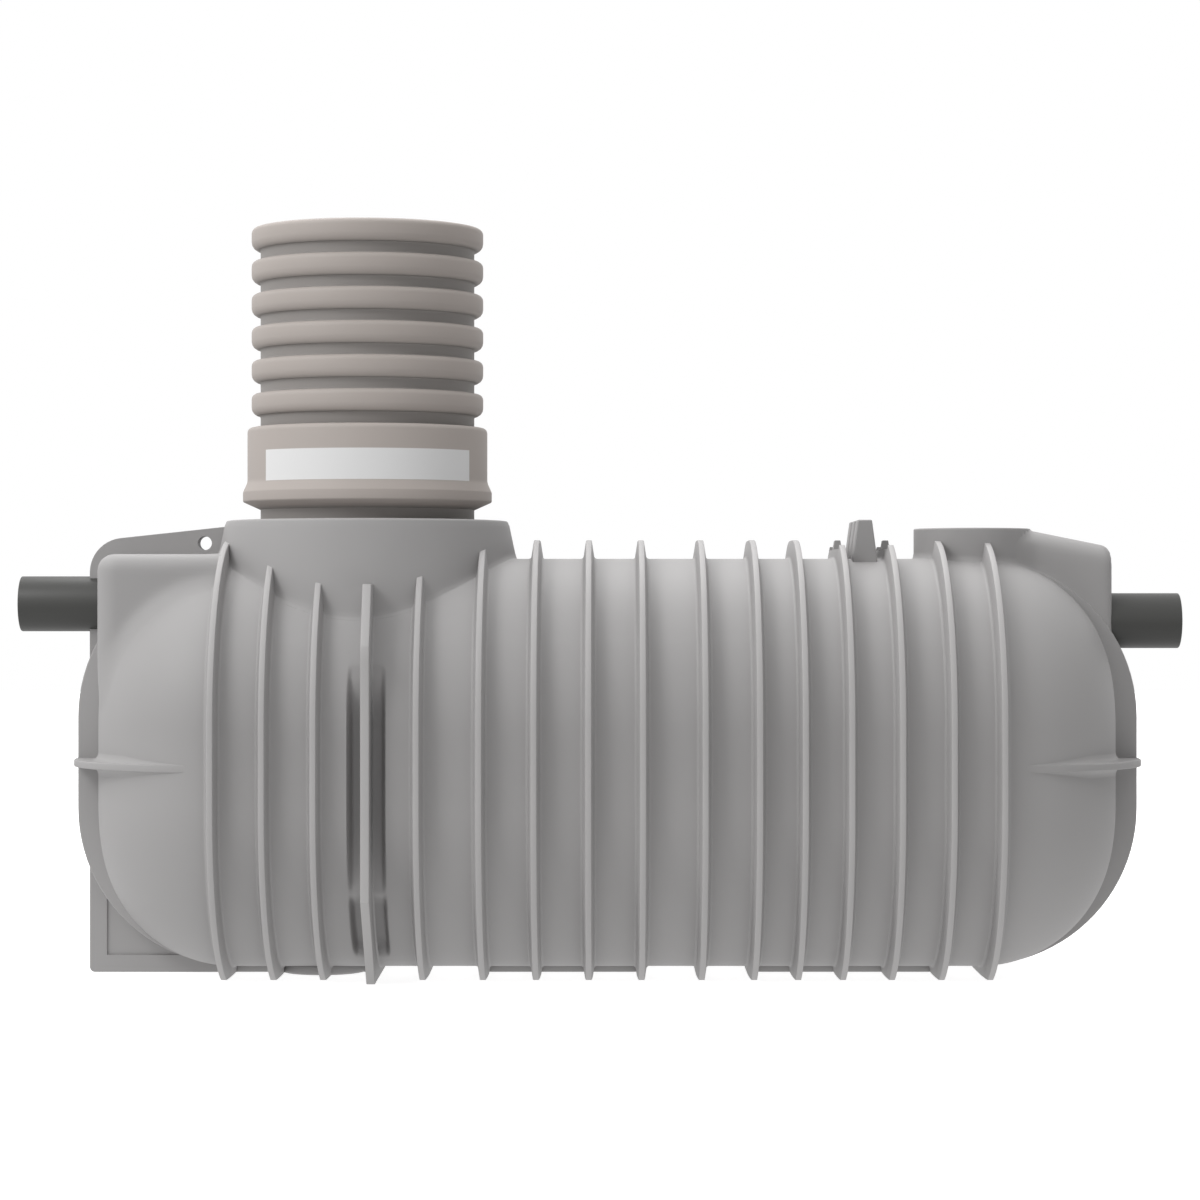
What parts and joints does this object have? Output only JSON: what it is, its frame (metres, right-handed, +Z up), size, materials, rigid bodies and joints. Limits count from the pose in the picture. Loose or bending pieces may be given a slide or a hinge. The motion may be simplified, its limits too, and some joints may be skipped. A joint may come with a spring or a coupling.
{
  "type": "below-ground grease separator tank",
  "caption": "Ribbed horizontal plastic tank with domed ends, a corrugated access riser on its inlet neck, and an inlet and an outlet pipe stub.",
  "frame": {"origin": "middle of the bounding box on the plane that the ribs stand on", "axes": "+X along the tank from the inlet to the outlet, +Y to the back, +Z up"},
  "size_m": [3.364, 1.2, 2.156],
  "materials": {
    "tank_plastic": "matte moulded polyethylene, mid grey",
    "riser_plastic": "matte moulded plastic, warm grey",
    "pipe_plastic": "smooth extruded plastic, dark grey"
  },
  "bodies": {
    "root": {"inlet_dome": "tank_plastic", "inlet_fin": "tank_plastic", "inlet_housing": "tank_plastic", "inlet_neck": "tank_plastic", "inlet_pipe": "pipe_plastic", "inlet_ridge": "tank_plastic", "keel_inlet": "tank_plastic", "keel_middle": "tank_plastic", "keel_outlet": "tank_plastic", "keel_shallow": "tank_plastic", "lifting_lug": "tank_plastic", "outlet_dome": "tank_plastic", "outlet_fin": "tank_plastic", "outlet_housing": "tank_plastic", "outlet_neck": "tank_plastic", "outlet_pipe": "pipe_plastic", "outlet_ridge": "tank_plastic", "rib_01": "tank_plastic", "rib_02": "tank_plastic", "rib_03": "tank_plastic", "rib_04": "tank_plastic", "rib_05": "tank_plastic", "rib_06": "tank_plastic", "rib_07": "tank_plastic", "rib_08": "tank_plastic", "rib_09": "tank_plastic", "rib_10": "tank_plastic", "rib_11": "tank_plastic", "rib_12": "tank_plastic", "rib_13": "tank_plastic", "rib_14": "tank_plastic", "rib_15": "tank_plastic", "rib_16": "tank_plastic", "riser": "riser_plastic", "riser_collar": "riser_plastic", "shell_back": "tank_plastic", "shell_crown": "tank_plastic", "shell_floor": "tank_plastic", "shell_front": "tank_plastic", "sump_boss": "tank_plastic", "web_foot": "tank_plastic", "web_side": "tank_plastic", "web_top": "tank_plastic"}
  },
  "joints": []
}
